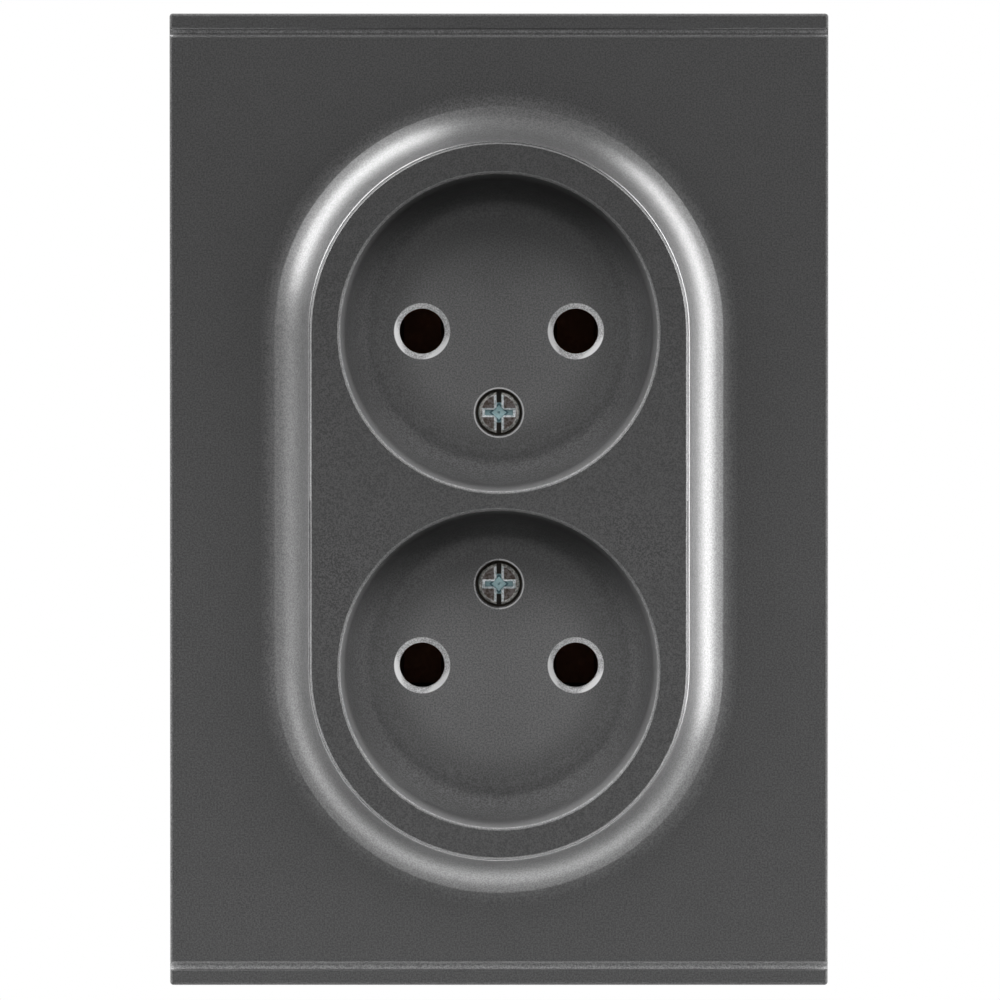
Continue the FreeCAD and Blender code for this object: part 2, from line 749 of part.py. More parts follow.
def leaf_section(inner, thickness, root_y):
    """Section of one sprung leaf, right of the pin's axis, bowed towards the pin."""
    start_y = bar_depth - fork_straight
    half = (start_y - fork_mouth_depth) / 2
    middle_y = (start_y + fork_mouth_depth) / 2
    radius = (half ** 2 + fork_leaf_sag ** 2) / (2 * fork_leaf_sag)
    angle = math.asin(half / radius)
    centre_x = fork_gap / 2 - fork_leaf_sag + radius
    near = radius - (inner - fork_gap / 2)
    far = near - thickness

    def on_arc(distance, turn):
        return vec(centre_x - distance * math.cos(turn), middle_y + distance * math.sin(turn), 0)

    root_near = vec(on_arc(near, angle).x, root_y, 0)
    root_far = vec(on_arc(far, angle).x, root_y, 0)
    edges = [
        Part.LineSegment(root_near, on_arc(near, angle)),
        Part.Arc(on_arc(near, angle), on_arc(near, 0), on_arc(near, -angle)),
        Part.LineSegment(on_arc(near, -angle), on_arc(far, -angle)),
        Part.Arc(on_arc(far, -angle), on_arc(far, 0), on_arc(far, angle)),
        Part.LineSegment(on_arc(far, angle), root_far),
        Part.LineSegment(root_far, root_near),
    ]
    return Part.Face(Part.Wire([edge.toShape() for edge in edges]))


def fork(inner, thickness, width, base_y, x, z):
    """Two leaves and the base that joins them, folded from one strip."""
    section = leaf_section(inner, thickness, base_y + thickness)
    leaf = section.extrude(vec(0, 0, width))
    leaf.translate(vec(0, 0, -width / 2))
    other = mirrored_x(leaf)
    reach = leaf.BoundBox.XMin
    for vertex in leaf.Vertexes:
        if abs(vertex.Point.y - base_y - thickness) < 1e-6:
            reach = max(reach, vertex.Point.x)
    base = block(-reach, reach, base_y, base_y + thickness, -width / 2, width / 2)
    shape = fuse_all([leaf, other, base])
    shape.translate(vec(x, 0, z))
    return shape


def make_contact_bar(side):
    """Brass strip of one pole: a fork at each end and two threaded terminal holes between."""
    x = side * pin_pitch / 2
    strip = block(x - bar_width / 2, x + bar_width / 2, bar_depth, bar_back_y,
                  -socket_spacing / 2, socket_spacing / 2)
    forks = []
    for level in (-1, 1):
        forks.append(fork(fork_gap / 2, bar_thickness, fork_width, bar_depth, x,
                          level * socket_spacing / 2))
    bar = fuse_all([strip] + forks)
    for level in (-1, 1):
        bar = bar.cut(rod(terminal_screw_diameter, x, level * terminal_offset,
                          bar_depth - EPS, bar_back_y + EPS))
    return bar


def make_contact_spring(side, level):
    """Steel clip that squeezes the leaves of one fork."""
    inner = fork_gap / 2 + bar_thickness + fit_gap
    return fork(inner, spring_thickness, spring_width, bar_back_y + fit_gap,
                side * pin_pitch / 2, level * socket_spacing / 2)


def make_terminal_clamp(side, level):
    """Clamp plate with turned lips, held by the terminal screw over the wires."""
    x = side * pin_pitch / 2
    z = level * terminal_offset
    plate = block(x - clamp_length / 2, x + clamp_length / 2, clamp_y, clamp_y + clamp_thickness,
                  z - clamp_width / 2, z + clamp_width / 2)
    lips = []
    for end in (-1, 1):
        reach = sorted((z + end * clamp_width / 2, z + end * (clamp_width / 2 - clamp_lip)))
        lips.append(block(x - clamp_length / 2, x + clamp_length / 2,
                          clamp_y - clamp_lip, clamp_y + clamp_thickness, reach[0], reach[1]))
    clamp = fuse_all([plate] + lips)
    corners = []
    for edge in clamp.Edges:
        box = edge.BoundBox
        at_side = abs(abs(box.XMin - x) - clamp_length / 2) < 1e-4 and box.XLength < 1e-4
        at_end = abs(abs(box.ZMin - z) - clamp_width / 2) < 1e-4 and box.ZLength < 1e-4
        if at_side and at_end:
            corners.append(edge)
    clamp = clamp.makeFillet(0.8, corners)
    return clamp.cut(rod(terminal_screw_diameter + 2 * seat_gap, x, z,
                         clamp_y - EPS, clamp_y + clamp_thickness + EPS))


def make_terminal_screws():
    """Four slotted screws, driven from behind, that press the clamps on the wires."""
    screws = []
    tip_y = terminal_under_y - terminal_screw_length
    half = terminal_head_diameter / 2
    for side in (-1, 1):
        for level in (-1, 1):
            x = side * pin_pitch / 2
            z = level * terminal_offset
            head = rod(terminal_head_diameter, x, z, terminal_under_y, terminal_top_y)
            head = head.makeChamfer(0.3, front_edges(head, terminal_top_y))
            screw = head.fuse(rod(terminal_screw_diameter - 2 * fit_gap, x, z, tip_y,
                                  terminal_under_y + EPS))
            slot = block(x - half - EPS, x + half + EPS,
                         terminal_top_y - screw_slot_depth, terminal_top_y + EPS,
                         z - screw_slot_width / 2, z + screw_slot_width / 2)
            screws.append(screw.cut(slot))
    return Part.makeCompound(screws)


def make_claw(side):
    """Bent steel claw: prongs hooked through the plate, a threaded lug and a toothed tip."""
    inner_x = claw_pivot_x - claw_thickness / 2
    outer_x = claw_pivot_x + claw_thickness / 2
    half = claw_width / 2
    leg = block(inner_x, outer_x, claw_shoulder, claw_length, -half, half)
    tip_x = outer_x + claw_tip_reach
    tip_back_x = tip_x - claw_thickness * math.sin(claw_tip_slope)
    tip = polygon_face([
        vec(inner_x, claw_fold_y, -half),
        vec(outer_x, claw_fold_y, -half),
        vec(tip_x, claw_fold_y + claw_tip_rise, -half),
        vec(tip_back_x, claw_length + claw_tip_rise, -half),
        vec(inner_x, claw_length, -half),
    ]).extrude(vec(0, 0, claw_width))
    hook_front_y = plate_front_y - free_gap - claw_thickness
    parts = [leg, tip]
    for end in (-1, 1):
        reach = sorted((end * half, end * (half - claw_prong_width)))
        parts.append(block(inner_x, outer_x, hook_front_y, claw_shoulder + EPS,
                           reach[0], reach[1]))
        parts.append(block(inner_x, outer_x + claw_hook_reach, hook_front_y,
                           plate_front_y - free_gap, reach[0], reach[1]))
    lug_half = claw_lug_width / 2
    parts.append(block(inner_x, outer_x + claw_lug_reach, claw_lug_depth,
                       claw_lug_depth + claw_lug_thickness, -lug_half, lug_half))
    claw = fuse_all(parts)
    pitch = claw_width / claw_teeth
    notch_depth = pitch / 2
    for number in range(claw_teeth - 1):
        notch_z = -half + pitch * (number + 1)
        notch = polygon_face([
            vec(tip_x - notch_depth, 0, notch_z),
            vec(tip_x + EPS, 0, notch_z - pitch / 2),
            vec(tip_x + EPS, 0, notch_z + pitch / 2),
        ])
        notch.translate(vec(0, claw_fold_y, 0))
        claw = claw.cut(notch.extrude(vec(0, claw_tip_rise + 2 * claw_thickness, 0)))
    screw_x = claw_pivot_x + claw_screw_offset
    claw = claw.cut(rod(claw_screw_diameter, screw_x, 0, claw_lug_depth - EPS,
                        claw_lug_depth + claw_lug_thickness + EPS))
    return claw if side > 0 else mirrored_x(claw)


def make_claw_screw(side):
    """Slotted pan-head screw that draws one claw outwards."""
    x = side * (claw_pivot_x + claw_screw_offset)
    under_y = claw_screw_under_y
    screw = pan_head(claw_head_diameter, claw_head_height, x, 0, under_y)
    shank = rod(claw_screw_diameter - 2 * fit_gap, x, 0, under_y - EPS, claw_screw_end_y)
    screw = screw.fuse(shank)
    half = claw_head_diameter / 2 + EPS
    front_y = under_y - claw_head_height
    slot = block(x - half, x + half, front_y - EPS, front_y + screw_slot_depth,
                 -screw_slot_width / 2, screw_slot_width / 2)
    return screw.cut(slot)


def main():
    """Build every piece and write it out."""
    os.makedirs("parts", exist_ok=True)
    pieces = {
        "cover_frame": make_cover_frame(),
        "socket_insert": make_socket_insert(),
        "cover_screws": make_cover_screws(),
        "cover_screw_nuts": make_cover_screw_nuts(),
        "support_plate": make_support_plate(),
        "contact_housing": make_contact_housing(),
        "contact_cover": make_contact_cover(),
        "housing_rivets": make_housing_rivets(),
        "terminal_screws": make_terminal_screws(),
    }
    for side, hand in ((-1, "left"), (1, "right")):
        pieces[hand + "_contact_bar"] = make_contact_bar(side)
        pieces[hand + "_claw"] = make_claw(side)
        pieces[hand + "_claw_screw"] = make_claw_screw(side)
        for level, height in ((1, "upper"), (-1, "lower")):
            place = height + "_" + hand
            pieces[place + "_contact_spring"] = make_contact_spring(side, level)
            pieces[place + "_terminal_clamp"] = make_terminal_clamp(side, level)
    for name, shape in pieces.items():
        shape.exportStep("parts/" + name + ".step")
        print(name, "solids", len(shape.Solids), "valid", shape.isValid(),
              "volume", round(shape.Volume, 2))
    print("well depth", round(well_depth, 2), "insert front", round(insert_front_y, 2),
          "cove height", round(cove_height, 2), "boss back", round(boss_back_y, 2))


main()
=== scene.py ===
# %% [markdown]
# A double wall socket, dressed for its photograph.
#
# The real object is a tall frame in dark graphite paint with an oval insert that holds two
# round wells. Behind it are a steel plate, a black moulded housing, brass contacts and two
# claws that grip the wall box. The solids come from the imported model, in metres: X is to the
# right, Z is up and Y points into the wall. This file gives each piece its finish, turns the
# small fasteners again with finer shapes, and sets up a small photo studio around them.

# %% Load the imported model
import bmesh
import bpy
import math
from mathutils import Matrix, Vector


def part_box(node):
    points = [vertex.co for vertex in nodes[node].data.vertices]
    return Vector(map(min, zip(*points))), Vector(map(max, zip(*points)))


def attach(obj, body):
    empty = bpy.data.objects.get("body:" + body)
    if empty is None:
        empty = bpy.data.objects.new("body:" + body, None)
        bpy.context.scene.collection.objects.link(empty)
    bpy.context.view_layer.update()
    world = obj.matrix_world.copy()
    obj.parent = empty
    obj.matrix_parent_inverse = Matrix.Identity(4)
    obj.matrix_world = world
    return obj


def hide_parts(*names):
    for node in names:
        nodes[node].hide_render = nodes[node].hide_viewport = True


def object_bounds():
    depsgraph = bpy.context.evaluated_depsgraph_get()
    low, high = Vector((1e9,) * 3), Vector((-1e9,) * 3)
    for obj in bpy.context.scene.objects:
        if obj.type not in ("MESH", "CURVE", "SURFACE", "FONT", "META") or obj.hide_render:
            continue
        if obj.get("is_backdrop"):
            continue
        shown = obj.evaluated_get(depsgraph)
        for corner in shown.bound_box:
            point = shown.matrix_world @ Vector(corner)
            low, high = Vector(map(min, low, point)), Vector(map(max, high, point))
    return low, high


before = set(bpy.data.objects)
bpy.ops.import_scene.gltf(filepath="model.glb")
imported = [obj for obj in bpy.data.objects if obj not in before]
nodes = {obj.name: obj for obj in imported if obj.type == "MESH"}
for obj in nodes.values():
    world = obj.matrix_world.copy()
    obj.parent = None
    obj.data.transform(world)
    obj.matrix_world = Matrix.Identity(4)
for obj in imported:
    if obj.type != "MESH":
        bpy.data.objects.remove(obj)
cad_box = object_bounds()
MM = 0.001
print("nodes", len(nodes), "box", [[round(value / MM, 2) for value in corner] for corner in cad_box])

# %% [markdown]
# The camera stood straight in front of the socket and a little above it, with a long lens.
# A long lens from far away keeps the sides of the frame out of sight, as in the photograph.
# The lens follows from the width that the picture covers at the front of the frame.

# %% The camera
FRONT_Y = -9.6 * MM
CAMERA_DISTANCE = 1.5
CAMERA_RISE = math.radians(1.6)
PICTURE_WIDTH = 123.05 * MM
AIM = Vector((0.13 * MM, FRONT_Y, -0.02 * MM))

camera_data = bpy.data.cameras.new("camera")
camera_data.sensor_width = 36.0
camera_data.lens = camera_data.sensor_width * CAMERA_DISTANCE / PICTURE_WIDTH
camera_data.clip_end = 50.0
camera = bpy.data.objects.new("camera", camera_data)
bpy.context.scene.collection.objects.link(camera)
bpy.context.scene.camera = camera
towards_camera = Vector((0.0, -math.cos(CAMERA_RISE), math.sin(CAMERA_RISE)))
camera.location = AIM + towards_camera * CAMERA_DISTANCE
camera.rotation_euler = (-towards_camera).to_track_quat("-Z", "Y").to_euler()
bpy.context.scene.view_settings.view_transform = "Standard"
print("lens", round(camera_data.lens, 1), "mm")

# %% [markdown]
# Shader maths is easier to read as an expression than as a row of boxes. A Wire is one
# output of a node, and an expression on wires adds the Math nodes that work it out. A Finish
# is a material in the making, and its node method adds any other node: its settings first,
# then the values and wires of its sockets.

# %% A small language for finishes
class Wire:
    """One output of a node, usable in an expression."""

    def __init__(self, finish, socket):
        self.finish = finish
        self.socket = socket

    def __add__(self, other):
        return self.finish.calculate("ADD", self, other)

    def __sub__(self, other):
        return self.finish.calculate("SUBTRACT", self, other)

    def __rsub__(self, other):
        return self.finish.calculate("SUBTRACT", other, self)

    def __mul__(self, other):
        return self.finish.calculate("MULTIPLY", self, other)

    def __pow__(self, other):
        return self.finish.calculate("POWER", self, other)

    def __abs__(self):
        return self.finish.calculate("ABSOLUTE", self)

    __radd__ = __add__
    __rmul__ = __mul__


class Finish:
    """A material in the making."""

    def __init__(self, name):
        self.material = bpy.data.materials.new(name)
        self.material.use_nodes = True
        self.tree = self.material.node_tree
        self.tree.nodes.clear()
        self.place = self.node("ShaderNodeTexCoord", output="Object")

    def node(self, kind, settings=None, inputs=None, output=0):
        made = self.tree.nodes.new(kind)
        for name, value in (settings or {}).items():
            setattr(made, name, value)
        for name, value in (inputs or {}).items():
            if isinstance(value, Wire):
                self.tree.links.new(value.socket, made.inputs[name])
            else:
                made.inputs[name].default_value = value
        return Wire(self, made.outputs[output]) if made.outputs else None

    def calculate(self, operation, *values):
        """A Math node on values that are wires or numbers."""
        return self.node("ShaderNodeMath", {"operation": operation}, dict(enumerate(values)))

    def axis(self, name):
        """One coordinate of the place on the piece, in metres."""
        return self.node("ShaderNodeSeparateXYZ", inputs={0: self.place}, output=name)

    def stretched(self, *factors):
        """The place, stretched along X, Y and Z."""
        return self.node("ShaderNodeMapping", inputs={"Vector": self.place, "Scale": factors})

    def noise(self, size, detail=2.0, roughness=0.5, place=None):
        """Soft random spots of about this size, from 0 to 1."""
        return self.node(
            "ShaderNodeTexNoise",
            inputs={"Vector": place or self.place, "Scale": 1.0 / size, "Detail": detail,
                    "Roughness": roughness},
        )

    def ramp(self, value, start, end):
        """0 before the start, 1 after the end and a soft step between them."""
        return self.node(
            "ShaderNodeMapRange", {"interpolation_type": "SMOOTHSTEP"},
            {"Value": value, "From Min": start, "From Max": end},
        )

    def band(self, value, rise, fall):
        """1 between two soft steps and 0 outside them. Each step is its start and its end."""
        return self.ramp(value, *rise) - self.ramp(value, *fall)

    def contrast(self, noise, low=0.35, high=0.65):
        """A noise stretched to reach 0 and 1, because most of its values lie near a half."""
        return self.ramp(noise, low, high)

    def tint(self, amount, dark, light):
        """A colour between two, by an amount from 0 to 1. Each may be a colour or a wire."""
        ends = [end if isinstance(end, Wire) else (*end, 1.0) for end in (dark, light)]
        return self.node(
            "ShaderNodeMix", {"data_type": "RGBA"}, {"Factor": amount, 6: ends[0], 7: ends[1]},
            output=2,
        )

    def relief(self, height, depth, under=None):
        """A surface normal bent by a height from 0 to 1 that stands for a depth in metres."""
        inputs = {"Height": height, "Distance": depth, "Strength": 1.0}
        if under:
            inputs["Normal"] = under
        return self.node("ShaderNodeBump", inputs=inputs, output="Normal")

    def surface(self, **inputs):
        """End the material with a Principled shader."""
        named = {name.replace("_", " "): value for name, value in inputs.items()}
        shader = self.node("ShaderNodeBsdfPrincipled", inputs=named)
        self.node("ShaderNodeOutputMaterial", inputs={"Surface": shader})
        return self.material


def dress(finish, *names):
    """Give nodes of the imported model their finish."""
    for name in names:
        nodes[name].data.materials.clear()
        nodes[name].data.materials.append(finish)
    print(finish.name, "on", ", ".join(names))


# %% [markdown]
# The paint is a semi-matt graphite with a fine metallic grain. It is dark from the front and
# catches wide, soft lights in the hollow around the insert. So the base colour is dark, part
# of the shine is metal, and a very fine noise moves the colour and the surface a little.
# A second, wider noise keeps the large flats from looking like one printed colour. The paint
# is also a little paler from the top to below the middle, which is painted light: more light
# falls on the lower half. How pale a place is, compared with the plain paint, is called its level here.

# %% Graphite paint
GRAPHITE = 0.058
SPREAD = 0.42
# Painted light: the paint is darker at the top and paler from the middle downwards.
TOP_SHADE_SHARE, LOW_LIGHT_SHARE = 0.94, 1.25
PAINTED_LIGHT_BETWEEN = (50.0 * MM, -15.0 * MM)
FLAKE_SIZE = 0.20 * MM
FLAKE_RELIEF = 0.004 * MM
CLOUD_SIZE = 2.2 * MM
CLOUD_SHARE = 0.15
PAINT_METAL = 0.4
PAINT_ROUGHNESS, GRAIN_ROUGHNESS = 0.31, 0.08


def flakes(finish):
    """The paint's fine grain, as a relief from 0 to 1 and as its mix with wider clouds."""
    grain = finish.noise(FLAKE_SIZE, detail=3.0, roughness=0.6)
    clouds = finish.noise(CLOUD_SIZE)
    return grain, finish.contrast(grain) * (1 - CLOUD_SHARE) + clouds * CLOUD_SHARE


def paint(finish, speck, level):
    """The paint at some level, between a dark and a light shade of nearly neutral grey."""
    grey = (1.0, 1.0, 1.01)
    dark, light = [[GRAPHITE * level * part * (1 + way * SPREAD) for part in grey] for way in (-1, 1)]
    return finish.tint(speck, dark, light)


def paler_below_as_painted_light(finish, speck, level):
    """The paint at some level, with painted light: darkest at the top and palest from the middle
    downwards.
    """
    down = finish.ramp(finish.axis("Z"), *PAINTED_LIGHT_BETWEEN)
    return finish.tint(down, paint(finish, speck, level * TOP_SHADE_SHARE),
                       paint(finish, speck, level * LOW_LIGHT_SHARE))


print("paint with flakes of", FLAKE_SIZE / MM, "mm and clouds of", CLOUD_SIZE / MM, "mm")

# %% [markdown]
# On the frame the two grooves are painted much paler, which is painted light on their walls and
# edges, and a darker line low in the upper one is a painted shadow. The paint is dull on the rounded
# outline, where the mould parts. These places are known from the frame's measures, so soft steps
# along X, Y and Z find them.

# %% The frame's paint
GROOVE = ((56.95 * MM, 57.05 * MM), (57.80 * MM, 57.92 * MM))
GROOVE_FLOOR = (-8.58 * MM, -8.70 * MM)
GROOVE_ENDS = (40.5 * MM, 40.4 * MM)
GROOVE_SHADOW_LINE = ((57.14 * MM, 57.26 * MM), (57.40 * MM, 57.50 * MM))
UPPER_HALF = (-1.0 * MM, 1.0 * MM)
UPPER_GROOVE_LIGHT, UPPER_SHADOW_LEVEL, LOWER_GROOVE_LIGHT = 4.1, 2.2, 6.2
OUTLINE_X = (40.12 * MM, 40.24 * MM)
OUTLINE_Z = (59.42 * MM, 59.54 * MM)
OUTLINE_DULLNESS = 0.6


def graphite_frame():
    finish = Finish("graphite_frame")
    grain, speck = flakes(finish)
    side, up = abs(finish.axis("X")), finish.axis("Z")
    # The pale grooves are painted light, and the darker line in the upper one is a painted shadow.
    groove = finish.band(abs(up), *GROOVE) * finish.ramp(finish.axis("Y"), *GROOVE_FLOOR)
    groove = groove * finish.ramp(side, *GROOVE_ENDS)
    upper_groove_light_and_shadow = finish.tint(finish.band(up, *GROOVE_SHADOW_LINE), paint(finish, speck, UPPER_GROOVE_LIGHT),
                        paint(finish, speck, UPPER_SHADOW_LEVEL))
    pale = finish.tint(finish.ramp(up, *UPPER_HALF), paint(finish, speck, LOWER_GROOVE_LIGHT), upper_groove_light_and_shadow)
    outline = finish.calculate("MAXIMUM", finish.ramp(side, *OUTLINE_X),
                               finish.ramp(abs(up), *OUTLINE_Z))
    return finish.surface(
        Base_Color=finish.tint(groove, paler_below_as_painted_light(finish, speck, 1.0), pale),
        Metallic=PAINT_METAL,
        Roughness=PAINT_ROUGHNESS + grain * GRAIN_ROUGHNESS + outline * OUTLINE_DULLNESS,
        Specular_IOR_Level=1.0,
        Normal=finish.relief(grain, FLAKE_RELIEF),
    )


dress(graphite_frame(), "cover_frame")

# %% [markdown]
# The insert has the same paint, but some places differ. They are found from the place on the
# piece: the wells by their depth, and the holes by the distance from their axes, which is the
# same for all four when the signs of X and Z are dropped. A soft step, from a start to an
# end, marks each of them.

# %% Places on the insert
PIN_X = 9.5 * MM
WELL_Z = 20.65 * MM
WELL_RADIUS = 19.5 * MM
WELL_FLOOR_Y = -3.0 * MM
INSERT_FRONT_Y = -15.35 * MM
SCREW_Z = 10.6 * MM
LEAD_IN_RADIUS = 3.45 * MM
RECESS_RADIUS = 2.95 * MM


def near(place, start, end):
    """A soft step beside a place, with its start and its end in millimetres from there."""
    return place + start * MM, place + end * MM


def from_axis(finish, x, z):
    """Distance from the nearest of four axes along Y, at plus and minus x and z."""
    across = abs(finish.axis("X")) - x
    up = abs(finish.axis("Z")) - z
    return (across * across + up * up) ** 0.5


def from_nearest(finish, name, middle):
    """Distance along X or Z from a middle on the same side as the place, with its sign."""
    return finish.axis(name) - finish.calculate("SIGN", finish.axis(name)) * middle


FRONT = near(INSERT_FRONT_Y, 0.35, 0.02)
FRONT_EDGE = (near(INSERT_FRONT_Y, 0.0, 0.04), near(INSERT_FRONT_Y, 0.3, 0.4))
WELL_WALL = near(WELL_FLOOR_Y, 0.0, -1.2)
WELL_FLOOR = near(WELL_FLOOR_Y, -0.9, -0.1)
IN_HOLES = near(WELL_FLOOR_Y, -0.3, -0.1)
WELL_TOP = near(0.0, 3.0, 17.0)
WELL_FOOT = near(0.0, -5.0, -17.0)
FLOOR_EDGE = near(0.0, 9.5, 14.5)
PAST_LEAD_IN = near(LEAD_IN_RADIUS, -0.05, 0.08)
PAST_RECESS = near(RECESS_RADIUS, 0.12, 0.216)
PAST_GAP = near(RECESS_RADIUS, -0.16, -0.02)
HIGHLIGHT_SPOT = near(0.0, 2.4, 3.1)
print("wells", round((WELL_FLOOR_Y - INSERT_FRONT_Y) / MM, 2), "mm deep")

# %% [markdown]
# The floors of the wells are paler and duller than the flat front, and they are painted darker
# towards their edge, which is painted shade. Each well has painted light and shade that follows
# the height in it: painted shade at its top, where the wall faces down, and painted light on
# its wall, palest at the foot. The narrow edges in front are duller, so that they catch light
# from more sides. The lead-ins of the pin holes and the edges of the screw recesses are painted
# pale as a painted highlight, with near-white painted highlights on the lead-ins at the left
# and at the lower right, and the gap round a screw's head is painted dark brown as painted shade.
#
# The floors are also very slightly dished, as moulded floors are, and a relief that rises
# with the square of the distance from the well's axis bends the light that much.

# %% The insert's paint
FRONT_LEVEL, SIDE_LIGHT_LEVEL, FOOT_LIGHT_LEVEL, TOP_SHADE_LEVEL = 0.9, 2.1, 3.0, 0.5
FLOOR_LEVEL, FLOOR_EDGE_SHADE_LEVEL, FLOOR_TOP_SHADE_LEVEL = 1.95, 1.35, 0.9
HIGHLIGHT_RING_LEVEL, RECESS_SHARE = 9.8, 0.45
PAINTED_HIGHLIGHT_COLOUR = (0.95, 0.95, 0.95)
GAP_SHADE_COLOUR = (0.085, 0.066, 0.042)
TO_THE_LEFT, TO_LOWER_RIGHT = (-0.97, -0.26), (0.70, -0.72)
FLOOR_DULLNESS, EDGE_DULLNESS, FLOOR_METAL_LOSS = 0.25, 0.35, 0.3
DISH_RADIUS = 60.0 * MM


def graphite_insert():
    finish = Finish("graphite_insert")
    grain, speck = flakes(finish)

    def level(share):
        return paler_below_as_painted_light(finish, speck, share)

    depth = finish.axis("Y")
    ring_x, ring_z = from_nearest(finish, "X", PIN_X), from_nearest(finish, "Z", WELL_Z)
    from_screw = from_axis(finish, 0.0, SCREW_Z)
    reach = finish.calculate("MINIMUM", from_axis(finish, 0.0, WELL_Z), WELL_RADIUS)

    front = finish.ramp(depth, *FRONT)
    floor = finish.ramp(depth, *WELL_FLOOR)
    # Painted shade at the top of each well, and painted light on its wall, most at the foot.
    top_shade = finish.ramp(ring_z, *WELL_TOP)
    lit_sides = finish.tint(finish.ramp(ring_z, *WELL_FOOT), level(SIDE_LIGHT_LEVEL), level(FOOT_LIGHT_LEVEL))
    front_with_top_shade = finish.tint(top_shade * (1.0 - front), level(FRONT_LEVEL), level(TOP_SHADE_LEVEL))
    wall_light_and_shade = finish.tint(finish.ramp(depth, *WELL_WALL) - front, front_with_top_shade,
                       finish.tint(top_shade, lit_sides, level(TOP_SHADE_LEVEL)))
    # Painted shade towards the edge of each floor and at its top.
    floor_with_edge_shade = finish.tint(finish.ramp(reach, *FLOOR_EDGE), level(FLOOR_LEVEL),
                             level(FLOOR_EDGE_SHADE_LEVEL))
    floor_with_painted_shade = finish.tint(top_shade, floor_with_edge_shade, level(FLOOR_TOP_SHADE_LEVEL))

    # The pale lead-ins and recess edges are a painted highlight, with near-white painted highlights on
    # the lead-ins at the left and at the lower right.
    in_holes = finish.ramp(depth, *IN_HOLES)
    lead_in = in_holes - finish.ramp(from_axis(finish, PIN_X, WELL_Z), *PAST_LEAD_IN)
    recess = (in_holes - finish.ramp(from_screw, *PAST_RECESS)) * RECESS_SHARE
    highlight_ring = finish.node("ShaderNodeMath", {"operation": "MAXIMUM", "use_clamp": True},
                         {0: lead_in, 1: recess})
    left, right = [finish.ramp(ring_x * way[0] + ring_z * way[1], *HIGHLIGHT_SPOT)
                   for way in (TO_THE_LEFT, TO_LOWER_RIGHT)]
    lead_in_highlights = finish.tint(left + right, paint(finish, speck, HIGHLIGHT_RING_LEVEL), PAINTED_HIGHLIGHT_COLOUR)
    # Painted shade: the gap round a screw's head is painted dark brown.
    gap_shade = in_holes - finish.ramp(from_screw, *PAST_GAP)
    colour = finish.tint(highlight_ring, finish.tint(floor, wall_light_and_shade, floor_with_painted_shade), lead_in_highlights)
    edge = finish.band(depth, *FRONT_EDGE)
    dish = finish.relief(reach * reach * (0.5 / DISH_RADIUS), 1.0)
    return finish.surface(
        Base_Color=finish.tint(gap_shade, colour, GAP_SHADE_COLOUR),
        Metallic=PAINT_METAL - floor * FLOOR_METAL_LOSS,
        Roughness=(PAINT_ROUGHNESS + grain * GRAIN_ROUGHNESS + floor * FLOOR_DULLNESS
                   + edge * EDGE_DULLNESS),
        Specular_IOR_Level=1.0,
        Normal=finish.relief(grain, FLAKE_RELIEF, dish),
    )


dress(graphite_insert(), "socket_insert")

# %% [markdown]
# The housing and its lid are a black, heat-proof moulding. Such plastic is never quite black:
# it is a dark brown with paler filler in it, it shows slow swirls where the compound flowed,
# and the spark-eroded mould leaves a fine, even texture. A slow noise moves the place at
# which a second one is read, which makes the swirls, and a third, finer one is the texture.

# %% Black moulding
FLOW_STRETCH = (1.0, 1.0, 0.35)
FLOW_DRIFT = (0.006, 0.006, 0.006)
BROWN = (1.0, 0.80, 0.66)
PALE_BROWN = (1.6, 1.45, 1.3)


def black_moulding(name, level, texture_depth):
    finish = Finish(name)
    drift = finish.tint(finish.noise(7.0 * MM, detail=1.0), (0.0, 0.0, 0.0), FLOW_DRIFT)
    wandering = finish.node("ShaderNodeVectorMath", {"operation": "MULTIPLY_ADD"},
                            {0: FLOW_STRETCH, 1: finish.place, 2: drift})
    swirl = finish.noise(3.0 * MM, detail=4.0, roughness=0.55, place=wandering)
    texture = finish.noise(0.22 * MM, detail=2.0)
    dark, pale = [[level * part for part in colour] for colour in (BROWN, PALE_BROWN)]
    return finish.surface(
        Base_Color=finish.tint(swirl, dark, pale),
        Roughness=0.42 + texture * 0.16,
        Specular_IOR_Level=0.32,
        Normal=finish.relief(texture, texture_depth),
    )


dress(black_moulding("black_moulding", level=0.008, texture_depth=0.012 * MM), "contact_housing")
dress(black_moulding("black_moulding_lid", level=0.010, texture_depth=0.008 * MM), "contact_cover")

# %% [markdown]
# The plate and the pressings are zinc-plated steel. Rolled sheet keeps a faint grain along
# one direction, so the noise is stretched along it. The blue-white plating varies a little
# in tone over some millimetres, and it is duller where the bath left more zinc. One function
# serves the plate, whose grain runs upwards, and the claws, clamps and nuts, where it runs
# from front to back.

# %% Zinc-plated steel
def zinc_plated(name, grain_stretch, level, blue, roughness):
    finish = Finish(name)
    grain_place = finish.stretched(*grain_stretch)
    grain = finish.noise(0.12 * MM, detail=3.0, roughness=0.6, place=grain_place)
    bath = finish.noise(6.0 * MM, detail=3.0)
    spots = finish.contrast(finish.noise(1.1 * MM, detail=4.0), 0.52, 0.72)
    cool = [level * part for part in (1.0 - blue, 1.0, 1.0 + blue)]
    warm = [level * 0.82 * part for part in (1.03, 1.0, 0.94)]
    return finish.surface(
        Base_Color=finish.tint(bath * 0.6 + spots * 0.3, cool, warm),
        Metallic=1.0,
        Roughness=roughness + grain * 0.10 + spots * 0.10,
        Normal=finish.relief(grain, 0.003 * MM),
    )


